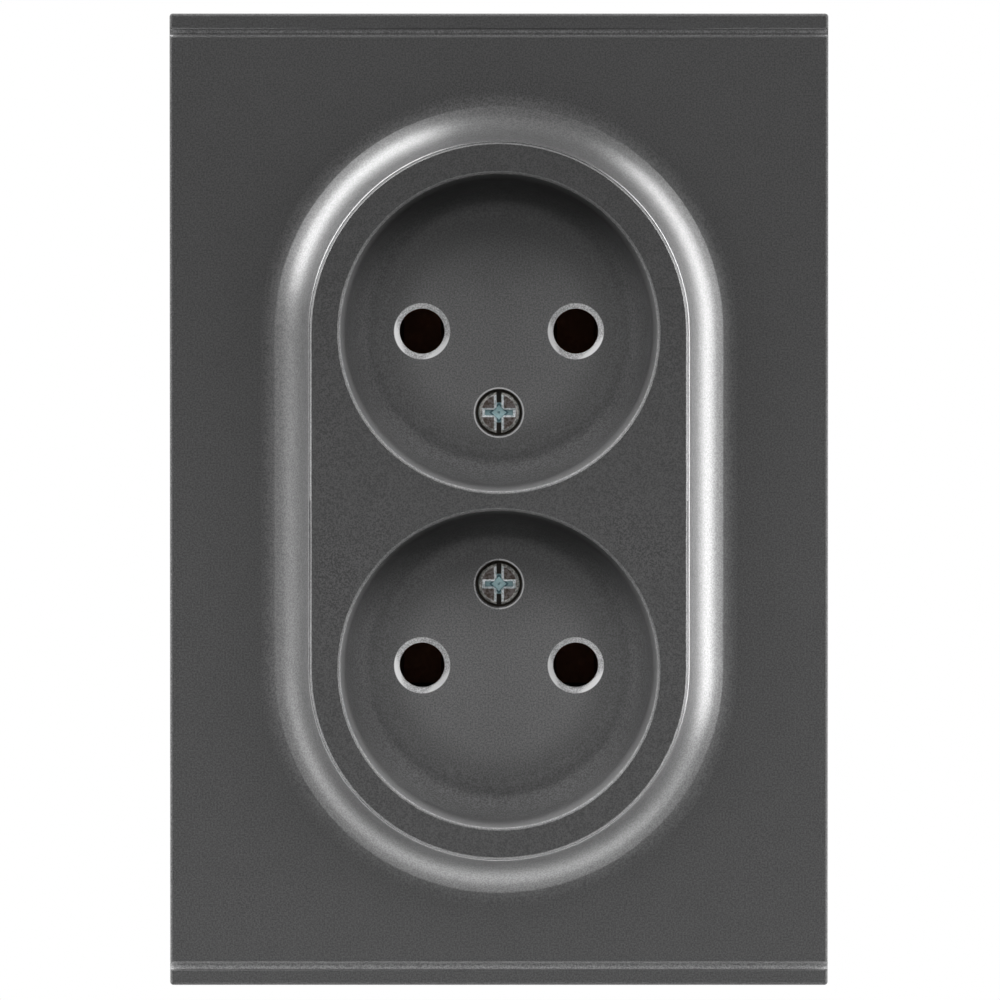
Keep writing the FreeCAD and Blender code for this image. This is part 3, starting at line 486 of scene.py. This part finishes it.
dress(zinc_plated("plate_steel", (1.0, 1.0, 0.03), level=0.42, blue=0.02, roughness=0.40),
      "support_plate")
claws_and_clamps = ["left_claw", "right_claw", "cover_screw_nuts"] + [
    name for name in nodes if name.endswith("_terminal_clamp")
]
dress(zinc_plated("zinc_steel", (1.0, 0.05, 1.0), level=0.46, blue=0.03, roughness=0.34),
      *claws_and_clamps)

# %% [markdown]
# The springs are bare hardened strip, darker and bluer, with a straw tint from tempering.
# The contacts are stamped brass. At the back, where the housing covers it, the strip has kept
# its yellow. In the forks, which stand open to the air of the room, it has gone brown, and
# the photograph shows hardly more than a dark brown deep in the holes.

# %% Spring steel and brass
YELLOW_FROM = (17.1 * MM, 17.6 * MM)


def spring_steel():
    finish = Finish("spring_steel")
    grain = finish.noise(0.1 * MM, detail=3.0, place=finish.stretched(1.0, 1.0, 0.04))
    temper = finish.noise(2.5 * MM, detail=2.0)
    return finish.surface(
        Base_Color=finish.tint(temper, (0.26, 0.28, 0.33), (0.42, 0.36, 0.27)),
        Metallic=1.0,
        Roughness=0.30 + grain * 0.12,
        Normal=finish.relief(grain, 0.002 * MM),
    )


def contact_brass():
    finish = Finish("contact_brass")
    grain = finish.noise(0.1 * MM, detail=3.0, place=finish.stretched(1.0, 0.04, 1.0))
    stain = finish.contrast(finish.noise(1.6 * MM, detail=4.0))
    back = finish.ramp(finish.axis("Y"), *YELLOW_FROM)
    tarnished = finish.tint(stain, (0.17, 0.07, 0.04), (0.30, 0.14, 0.08))
    yellow = finish.tint(stain, (0.60, 0.40, 0.14), (0.42, 0.27, 0.10))
    return finish.surface(
        Base_Color=finish.tint(back, tarnished, yellow),
        Metallic=1.0,
        Roughness=0.34 + grain * 0.10 + stain * 0.12,
        Normal=finish.relief(grain, 0.002 * MM),
    )


dress(spring_steel(), *[name for name in nodes if name.endswith("_contact_spring")])
dress(contact_brass(), "left_contact_bar", "right_contact_bar")

# %% [markdown]
# The screws are turned again here, because their heads are what the eye finds first in the
# dark wells. A head is a turned shape: half of its outline is drawn with a few points and
# spun about its axis. The recess is then carved with closed cutters. Its bright borders in
# the photograph are chamfers, cut with blocks that get narrower, and a small bevel rounds
# every edge that stays sharp.

# %% Turned shapes, carving and threads
AXIS = Vector((0.0, 1.0, 0.0))
AROUND = 64
STEPS_A_TURN = 20
ABOVE_HEAD = 0.5 * MM
SHARP = math.radians(32)


def turned(outline):
    """A closed solid of revolution about the Y axis, from (radius, y) points of half its outline."""
    shape = bmesh.new()
    points = [shape.verts.new((radius, y, 0.0)) for radius, y in outline]
    lines = [shape.edges.new(pair) for pair in zip(points, points[1:])]
    bmesh.ops.spin(shape, geom=points + lines, cent=(0.0, 0.0, 0.0), axis=AXIS,
                   dvec=(0.0, 0.0, 0.0), angle=2 * math.pi, steps=AROUND, use_merge=True)
    bmesh.ops.remove_doubles(shape, verts=shape.verts, dist=0.0005 * MM)
    bmesh.ops.recalc_face_normals(shape, faces=shape.faces)
    return shape


def arc(centre, radius, start, end, steps=5):
    """Points (radius, y) on an arc, between two angles in degrees."""
    angles = [math.radians(start + (end - start) * step / steps) for step in range(steps + 1)]
    return [(centre[0] + radius * math.cos(a), centre[1] + radius * math.sin(a)) for a in angles]


def wedge(above, end, depth, y, turn=0.0):
    """A closed four-sided cutter, from a little above y down to a depth, with its two end sizes."""
    shape = bmesh.new()
    bmesh.ops.create_cube(shape, size=1.0)
    for vert in shape.verts:
        size = end if vert.co.y > 0 else above
        vert.co.x *= size[0]
        vert.co.z *= size[1]
        vert.co.y = y + depth if vert.co.y > 0 else y - ABOVE_HEAD
    bmesh.ops.rotate(shape, verts=shape.verts, cent=(0.0, 0.0, 0.0),
                     matrix=Matrix.Rotation(math.radians(turn), 3, "Y"))
    return shape


def tapered_block(size, depth, end_scale, y, turn=0.0):
    """A cutter whose end is narrower by a factor."""
    return wedge(size, (size[0] * end_scale, size[1] * end_scale), depth, y, turn)


def piece_of(name, shape, finish=None):
    """An object in the scene made of a bmesh, which is used up."""
    mesh = bpy.data.meshes.new(name)
    shape.to_mesh(mesh)
    shape.free()
    if finish:
        mesh.materials.append(finish)
    piece = bpy.data.objects.new(name, mesh)
    bpy.context.scene.collection.objects.link(piece)
    return piece


def carved(shape, cutters, edge):
    """The shape without its cutters, with its sharp edges rounded by a small bevel."""
    blank = piece_of("blank", shape)
    tools = [piece_of("blank", cutter) for cutter in cutters]
    for tool in tools:
        cut = blank.modifiers.new("recess", "BOOLEAN")
        cut.operation = "DIFFERENCE"
        cut.solver = "EXACT"
        cut.object = tool
    soften = blank.modifiers.new("edges", "BEVEL")
    soften.width = edge
    soften.segments = 3
    soften.limit_method = "ANGLE"
    soften.angle_limit = SHARP
    soften.use_clamp_overlap = True
    ready = blank.evaluated_get(bpy.context.evaluated_depsgraph_get())
    result = bmesh.new()
    result.from_mesh(ready.to_mesh())
    ready.to_mesh_clear()
    for spent in [blank] + tools:
        mesh = spent.data
        bpy.data.objects.remove(spent)
        bpy.data.meshes.remove(mesh)
    return result


def add_thread(shape, core, crest, pitch, start, end):
    """Wind a ridge round the core of a shank, from one depth to another."""
    turns = (end - start - pitch) / pitch
    steps = int(STEPS_A_TURN * turns)
    outline = [(core * 0.97, 0.06), (crest, 0.44), (crest, 0.56), (core * 0.97, 0.94)]
    points = [shape.verts.new((radius, start + part * pitch, 0.0)) for radius, part in outline]
    ridge = shape.faces.new(points)
    bmesh.ops.spin(shape, geom=[ridge] + ridge.edges[:] + points, cent=(0.0, 0.0, 0.0), axis=AXIS,
                   dvec=AXIS * (turns * pitch / steps), angle=2 * math.pi * turns, steps=steps)


def joined(target, source):
    """Add one bmesh to another."""
    mesh = bpy.data.meshes.new("part")
    source.to_mesh(mesh)
    source.free()
    target.from_mesh(mesh)
    bpy.data.meshes.remove(mesh)
    return target


print("helpers for turned pieces ready")

# %% [markdown]
# One screw is made once, at the origin, with its seat at Y = 0 and its head towards the
# viewer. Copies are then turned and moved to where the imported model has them. A node's box
# gives the depth. The middle of a lone screw's box gives its axis, and the axes of a group
# are known from the object's measures.

# %% Screws
EDGE = 0.10 * MM
LONGER_THAN_HEAD = 12.0 * MM
SLOT_WIDTH, SLOT_DEPTH, SLOT_CHAMFER = 0.44 * MM, 0.8 * MM, 0.46 * MM
CROSS_SPAN, CROSS_WIDTH, CROSS_DEPTH, CROSS_CHAMFER = 3.75 * MM, 0.74 * MM, 0.7 * MM, 0.25 * MM
SMOOTH_BELOW = math.radians(38)


def pan_head(diameter, height):
    """A pan head: nearly flat in front, with a round edge."""
    radius = diameter / 2
    corner = 0.28 * height
    crown = 0.02 * height
    front = [(0.0, -height), (0.45 * radius, -height + 0.2 * crown), (radius - corner, -height + crown)]
    edge = arc((radius - corner, -height + crown + corner), corner, -90, 0)
    return turned(front + edge[1:] + [(radius, -0.04 * height), (radius * 0.97, 0.0), (0.0, 0.0)])


def cross_and_slot(height):
    """Cutters for the combined recess: a slot right across, a cross and a square middle.

    The slot and the cross have a wide chamfer each, cut with a block that narrows at 45
    degrees, so it is wider where it starts above the head. The cross's chamfer ends a hair
    wider than the cross.
    """
    front = -height
    slot_end = (SLOT_WIDTH, LONGER_THAN_HEAD)
    slot_top = (SLOT_WIDTH + 2 * (SLOT_CHAMFER + ABOVE_HEAD), LONGER_THAN_HEAD)
    cross_end = (CROSS_SPAN, CROSS_WIDTH + 0.02 * MM)
    cross_top = [size + 2 * (CROSS_CHAMFER + ABOVE_HEAD) for size in cross_end]
    return [
        wedge(slot_top, slot_end, SLOT_CHAMFER, front),
        tapered_block(slot_end, SLOT_DEPTH, 1.0, front),
        wedge(cross_top, cross_end, CROSS_CHAMFER, front),
        tapered_block((CROSS_SPAN, CROSS_WIDTH), CROSS_DEPTH, 0.9, front),
        wedge((1.85 * MM, 1.85 * MM), (1.05 * MM, 1.05 * MM), 0.9 * MM, front, 45.0),
        wedge((0.9 * MM, 0.9 * MM), (0.15 * MM, 0.15 * MM), 1.3 * MM, front),
    ]


def screw(head, cutters, shank_diameter, shank_length, pitch, edge=EDGE):
    """A whole screw: a carved head on a threaded shank."""
    shape = carved(head, cutters, edge)
    crest = shank_diameter / 2
    core = crest - 0.55 * pitch
    neck = 0.8 * MM
    end = shank_length
    shank = [(0.0, -0.3 * MM), (crest, -0.3 * MM), (crest, neck), (core, neck + 0.2 * MM),
             (core, end - 0.35 * MM), (core - 0.3 * MM, end), (0.0, end)]
    joined(shape, turned(shank))
    add_thread(shape, core, crest, pitch, neck, end - 0.2 * MM)
    return shape


def copy_to(target, source, x, y, z, turn=None):
    """Add a copy of a shape, turned about the origin if asked and then moved."""
    made = source.copy()
    if turn:
        bmesh.ops.rotate(made, verts=made.verts, cent=(0.0, 0.0, 0.0), matrix=turn)
    bmesh.ops.translate(made, verts=made.verts, vec=(x, y, z))
    return joined(target, made)


def settle(name, shape, finish, body, node):
    """Make a piece of a shape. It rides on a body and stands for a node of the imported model."""
    bmesh.ops.recalc_face_normals(shape, faces=shape.faces)
    piece = piece_of(name, shape, finish)
    mesh = piece.data
    mesh.shade_smooth()
    mesh.set_sharp_from_angle(angle=SMOOTH_BELOW)
    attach(piece, body)
    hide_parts(node)
    print(name, "faces", len(mesh.polygons), "on", body)


print("a screw's slot is", SLOT_WIDTH / MM, "mm wide")

# %% [markdown]
# Zinc on small screws has a colder, bluish shine than on sheet, and tumbling leaves it a
# little rough everywhere. The cover screws show more: the flats of their heads have been
# touched and have gone brown, and the chamfers are painted pale as a painted highlight, darker
# at the rim. The floor of the recess has kept its teal plating, apart from the facets of its
# square middle, which are painted dark as painted shade, and the ends of the slot are painted
# near black as a painted shadow. The depth below the front of the head and the distance from
# its axis tell these zones apart.

# %% Zinc on the screws
def zinc_screw(name, cold, warm, roughness):
    finish = Finish(name)
    tumbled = finish.noise(0.35 * MM, detail=4.0, roughness=0.6)
    marks = finish.noise(0.12 * MM, detail=2.0, place=finish.stretched(1.0, 1.0, 0.3))
    return finish.surface(
        Base_Color=finish.tint(finish.contrast(tumbled), cold, warm),
        Metallic=1.0,
        Roughness=roughness + marks * 0.14,
        Normal=finish.relief(tumbled, 0.012 * MM),
    )


SLOT_ENDS = near(0.0, 1.15, 1.3)
FACETS_FROM, FACETS_TO = near(0.0, 0.85, 0.95), near(0.0, 1.15, 1.25)
FACETS_LOSS = 0.55
HEAD_RIM = near(0.0, 2.15, 2.3)


def zinc_on_cover_screws(front_y):
    """Zinc in zones: brown flats, chamfers with a painted highlight, a teal recess with painted shade
    on its facets, and painted shadow at the slot's ends.
    """
    finish = Finish("zinc_cover_screw")
    tumbled = finish.noise(0.35 * MM, detail=4.0, roughness=0.6)
    depth = finish.axis("Y")
    across = abs(finish.axis("X"))
    along = abs(abs(finish.axis("Z")) - SCREW_Z)
    chamfer = finish.ramp(depth, *near(front_y, 0.045, 0.08))
    deep = finish.ramp(depth, *near(front_y, 0.34, 0.42))
    slot_end_shadow = finish.ramp(along, *SLOT_ENDS)
    rim = finish.ramp((across * across + along * along) ** 0.5, *HEAD_RIM)
    # Painted shade on the facets of the square middle.
    facet_shade = finish.ramp(across + along, *FACETS_FROM) - finish.ramp(
        across + along, *FACETS_TO
    ) * FACETS_LOSS
    rough = finish.contrast(tumbled, 0.38, 0.62)
    flat = finish.tint(rough, (0.24, 0.19, 0.16), (0.52, 0.47, 0.46))
    # The pale chamfers are a painted highlight.
    pale = finish.tint(rough, (0.50, 0.57, 0.58), (0.96, 0.98, 1.0))
    chamfer_highlight = finish.tint(rim, pale, finish.tint(rough, (0.16, 0.16, 0.15), (0.55, 0.54, 0.50)))
    teal = finish.tint(tumbled, (0.30, 0.50, 0.53), (0.66, 0.84, 0.86))
    recess = finish.tint(facet_shade, teal, (0.10, 0.19, 0.22))
    # Painted shadow at the ends of the slot.
    slot = finish.tint(slot_end_shadow, recess, (0.03, 0.025, 0.02))
    return finish.surface(
        Base_Color=finish.tint(deep, finish.tint(chamfer, flat, chamfer_highlight), slot),
        Metallic=0.9 - chamfer * 0.6,
        Roughness=0.30 + chamfer * 0.10,
        Normal=finish.relief(tumbled, 0.015 * MM),
    )


screw_zinc = zinc_screw("zinc_screw", (0.52, 0.62, 0.66), (0.60, 0.58, 0.56), 0.24)
print("zinc for the screws ready")

# %% [markdown]
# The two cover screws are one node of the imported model, so they are one piece here too. The
# node's box gives the diameter of a head, the front of the heads and the end of the shanks.

# %% The two cover screws
HEAD_HEIGHT = 1.8 * MM
COVER_SHANK, COVER_PITCH, COVER_EDGE = 2.9 * MM, 0.5 * MM, 0.03 * MM
low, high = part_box("cover_screws")
head_diameter = high[0] - low[0]
cover_seat = low[1] + HEAD_HEIGHT
one_cover_screw = screw(
    pan_head(head_diameter, HEAD_HEIGHT), cross_and_slot(HEAD_HEIGHT),
    COVER_SHANK, high[1] - cover_seat, COVER_PITCH, COVER_EDGE,
)
cover_screws = bmesh.new()
for z in (SCREW_Z, -SCREW_Z):
    copy_to(cover_screws, one_cover_screw, 0.0, cover_seat, z)
one_cover_screw.free()
cover_zinc = zinc_on_cover_screws(low[1])
settle("cover_screw_pair", cover_screws, cover_zinc, "socket", "cover_screws")

# %% [markdown]
# Each claw has a slotted screw that rides with the claw's own body, because it tilts with
# the claw as it draws it up. The four terminal screws face the other way: they are driven
# from behind, so their copies are turned half round before they are moved. No two slots
# point the same way, because nobody lines them up.

# %% Claw screws and terminal screws
SLOTTED_HEAD_HEIGHT = 2.0 * MM
SLOTTED_SHANK, SLOTTED_PITCH = 3.4 * MM, 0.6 * MM
PLAIN_SLOT = 0.8 * MM
CLAW_TURNS = {"left": 8.0, "right": -14.0}
TERMINAL_HEAD = 6.0 * MM
TERMINAL_Z = 7.5 * MM


def slotted_screw(diameter, length, turn):
    """A pan-head screw whose plain slot is turned by some degrees."""
    slot = tapered_block((14.0 * MM, PLAIN_SLOT), PLAIN_SLOT, 1.0, -SLOTTED_HEAD_HEIGHT, turn)
    head = pan_head(diameter, SLOTTED_HEAD_HEIGHT)
    return screw(head, [slot], SLOTTED_SHANK, length, SLOTTED_PITCH)


for hand, turn in CLAW_TURNS.items():
    node = hand + "_claw_screw"
    low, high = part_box(node)
    seat = low[1] + SLOTTED_HEAD_HEIGHT
    one = slotted_screw(high[0] - low[0], high[1] - seat, turn)
    claw_screw = copy_to(bmesh.new(), one, (low[0] + high[0]) / 2, seat, (low[2] + high[2]) / 2)
    one.free()
    settle(hand + "_claw_screw_turned", claw_screw, screw_zinc, hand + "_claw_arm", node)

low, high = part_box("terminal_screws")
terminal_seat = high[1] - SLOTTED_HEAD_HEIGHT
half_turn = Matrix.Rotation(math.pi, 3, "X")
terminal_screws = bmesh.new()
for x, z, turn in ((-PIN_X, TERMINAL_Z, 20.0), (PIN_X, TERMINAL_Z, -35.0),
                   (-PIN_X, -TERMINAL_Z, 5.0), (PIN_X, -TERMINAL_Z, 62.0)):
    one = slotted_screw(TERMINAL_HEAD, terminal_seat - low[1], turn)
    copy_to(terminal_screws, one, x, terminal_seat, z, half_turn)
    one.free()
settle("terminal_screw_set", terminal_screws, screw_zinc, "socket", "terminal_screws")

# %% [markdown]
# The rivets are tubular: a preformed round head lies on the plate, and the tube's end is
# rolled back over the ear of the housing. Half of the outline shows both, with the bore
# open from behind.

# %% The tubular rivets
RIVET_X, RIVET_Z = 19.0 * MM, 12.5 * MM
PLATE_FRONT_Y, EAR_BACK_Y = -1.0 * MM, 3.0 * MM


def tubular_rivet(low_y, high_y, plate_y, ear_y):
    """A rivet with its head in front of the plate and its rolled end behind the ear."""
    head_radius, tube_radius, bore_radius = 2.1 * MM, 1.25 * MM, 0.7 * MM
    crown, curl, lip = 0.65 * MM, 0.35 * MM, 0.45 * MM
    head = [(0.0, low_y), (0.9 * MM, low_y + 0.04 * MM)]
    head += arc((head_radius - crown, low_y + crown), crown, -70, 0, 4)
    head += [(head_radius, plate_y), (tube_radius, plate_y), (tube_radius, ear_y)]
    roll = [(head_radius - 0.1 * MM, ear_y)]
    roll += arc((head_radius - curl, ear_y + curl), curl, -40, 90, 4)
    roll += arc((bore_radius + lip, high_y - lip), lip, 90, 180, 4)
    return turned(head + roll + [(bore_radius, plate_y), (0.0, plate_y)])


low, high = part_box("housing_rivets")
one_rivet = tubular_rivet(low[1], high[1], PLATE_FRONT_Y, EAR_BACK_Y)
rivets = bmesh.new()
for x in (-RIVET_X, RIVET_X):
    for z in (-RIVET_Z, RIVET_Z):
        copy_to(rivets, one_rivet, x, 0.0, z)
one_rivet.free()
rivet_steel = zinc_screw("rivet_steel", (0.46, 0.47, 0.48), (0.58, 0.57, 0.55), 0.30)
settle("housing_rivet_set", rivets, rivet_steel, "socket", "housing_rivets")

# %% [markdown]
# The studio. The photograph has a pure white ground and no shadow. Its hollows show what
# stood around the socket: a tall soft light at the right, one at the upper left, weaker ones
# at the left and below, all about level with the socket, and a dark screen behind the camera,
# which keeps the flat front dark. Three fill lights are seen by dull surfaces only: they light
# the walls of the wells and draw no new streaks in the hollow. A lamp's place is given by its
# angle off the lens and by an angle round the lens, which counts from the right and over the
# top, and its strength by how bright its surface is.

# %% Lamps
def panel(name, off_lens, round_lens, distance, size, brightness):
    """An area lamp that faces the socket."""
    off, around = math.radians(off_lens), math.radians(round_lens)
    away = Vector((math.sin(off) * math.cos(around), -math.cos(off), math.sin(off) * math.sin(around)))
    tangent = Vector((-math.sin(around), 0.0, math.cos(around)))
    data = bpy.data.lights.new(name, "AREA")
    data.shape = "RECTANGLE"
    data.size, data.size_y = size
    data.energy = brightness * math.pi * data.size * data.size_y
    lamp = bpy.data.objects.new(name, data)
    bpy.context.scene.collection.objects.link(lamp)
    turn = Matrix((tangent.cross(away), tangent, away)).transposed()
    lamp.matrix_world = Matrix.Translation(away * distance) @ turn.to_4x4()
    print(name, "watts", round(data.energy, 1))
    return lamp


softboxes = [
    ("right_softbox", 90.0, 17.0, 0.9, (0.45, 1.3), 16.0),
    ("upper_left_softbox", 90.0, 137.5, 0.9, (0.45, 1.0), 18.0),
    ("left_panel", 92.0, 205.0, 0.6, (0.30, 0.45), 3.1),
    ("below_panel", 90.0, 270.0, 0.45, (0.30, 0.85), 2.0),
]
fills = [
    ("foot_light", 65.0, 270.0, 0.3, (0.20, 0.60), 1.6),
    ("right_fill", 71.0, 5.0, 0.6, (0.3, 0.3), 6.5),
    ("left_fill", 71.0, 175.0, 0.6, (0.3, 0.3), 6.2),
]
for values in softboxes:
    panel(*values)
for values in fills:
    panel(*values).visible_glossy = False

# %% [markdown]
# A pale floor lies far below, out of the photograph's frame, so that a view from above has a
# ground. The dark screen is the part of a sphere round the socket that lies within 76 degrees
# of the lens. Only shiny surfaces see it, so it takes no light from the paint.

# %% The floor and the dark screen
FLOOR_Z = -0.55
FLOOR_RADIUS = 1.4
SCREEN_RADIUS = 0.25
SCREEN_OFF_LENS = math.radians(76)
SCREEN_GLOW = 0.11


def stage_piece(name, shape, finish):
    """A piece of the studio, which is no part of the object."""
    piece = piece_of(name, shape, finish)
    piece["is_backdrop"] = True
    return piece


disc = bmesh.new()
bmesh.ops.create_circle(disc, cap_ends=True, radius=FLOOR_RADIUS, segments=96)
bmesh.ops.translate(disc, verts=disc.verts, vec=(0.0, 0.0, FLOOR_Z))
pale_floor = Finish("pale_floor")
pale = pale_floor.tint(pale_floor.noise(0.05), (0.84, 0.84, 0.84), (0.86, 0.86, 0.86))
floor = stage_piece("floor", disc, pale_floor.surface(Base_Color=pale, Roughness=0.9))
floor.visible_diffuse = False

bowl = bmesh.new()
bmesh.ops.create_uvsphere(bowl, u_segments=48, v_segments=32, radius=SCREEN_RADIUS)
everything = bowl.verts[:] + bowl.edges[:] + bowl.faces[:]
bmesh.ops.bisect_plane(bowl, geom=everything, plane_no=(0.0, 1.0, 0.0), clear_outer=True,
                       plane_co=(0.0, -SCREEN_RADIUS * math.cos(SCREEN_OFF_LENS), 0.0))
dark = Finish("dark_screen").surface(
    Base_Color=(0.0, 0.0, 0.0, 1.0), Roughness=1.0, Specular_IOR_Level=0.0,
    Emission_Color=(1.0, 1.0, 1.0, 1.0), Emission_Strength=SCREEN_GLOW,
)
screen = stage_piece("dark_screen", bowl, dark)
screen.visible_camera = False
screen.visible_diffuse = False
screen.visible_shadow = False
print("screen radius", SCREEN_RADIUS, "m, floor at", FLOOR_Z, "m")

# %% [markdown]
# The world is white where the camera, a mirror or glass looks at it, at strength 1, which is
# the white of the photograph's ground. As a light it comes from above, as in a room with a
# pale ceiling: it grows from nothing just below level to its full strength at 30 degrees up.
# The photograph's wells are darkest at the top, where their walls face down.

# %% The world
WHITE = 1.0
FROM_BELOW, FROM_ABOVE = 0.0, 2.3
DARK_TO, BRIGHT_FROM = -0.1, 0.5

world = bpy.data.worlds.new("studio")
world.use_nodes = True
bpy.context.scene.world = world
tree = world.node_tree
tree.nodes.clear()
rays = tree.nodes.new("ShaderNodeLightPath")
seen = None
for kind in ("Is Camera Ray", "Is Glossy Ray", "Is Transmission Ray"):
    either = tree.nodes.new("ShaderNodeMath")
    either.operation = "MAXIMUM"
    tree.links.new(rays.outputs[kind], either.inputs[0])
    if seen:
        tree.links.new(seen.outputs[0], either.inputs[1])
    seen = either
direction = tree.nodes.new("ShaderNodeTexCoord")
parts = tree.nodes.new("ShaderNodeSeparateXYZ")
tree.links.new(direction.outputs["Generated"], parts.inputs[0])
ambient = tree.nodes.new("ShaderNodeMapRange")
tree.links.new(parts.outputs["Z"], ambient.inputs["Value"])
ambient.inputs["From Min"].default_value = DARK_TO
ambient.inputs["From Max"].default_value = BRIGHT_FROM
ambient.inputs["To Min"].default_value = FROM_BELOW
ambient.inputs["To Max"].default_value = FROM_ABOVE
level = tree.nodes.new("ShaderNodeMapRange")
tree.links.new(seen.outputs[0], level.inputs["Value"])
tree.links.new(ambient.outputs[0], level.inputs["To Min"])
level.inputs["To Max"].default_value = WHITE
background = tree.nodes.new("ShaderNodeBackground")
background.inputs["Color"].default_value = (1.0, 1.0, 1.0, 1.0)
tree.links.new(level.outputs[0], background.inputs["Strength"])
output = tree.nodes.new("ShaderNodeOutputWorld")
tree.links.new(background.outputs[0], output.inputs["Surface"])
print("world nodes", len(tree.nodes))

# %% [markdown]
# At the end the dressed object is measured again, and how far its box has grown past the
# imported model's box is printed. Nothing may stand out past the imported model.

# %% Measure the dressed object again
new_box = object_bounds()
grown = [round((new - old) / MM, 3) for pair in zip(cad_box, new_box) for old, new in zip(*pair)]
print("grown by mm", grown)
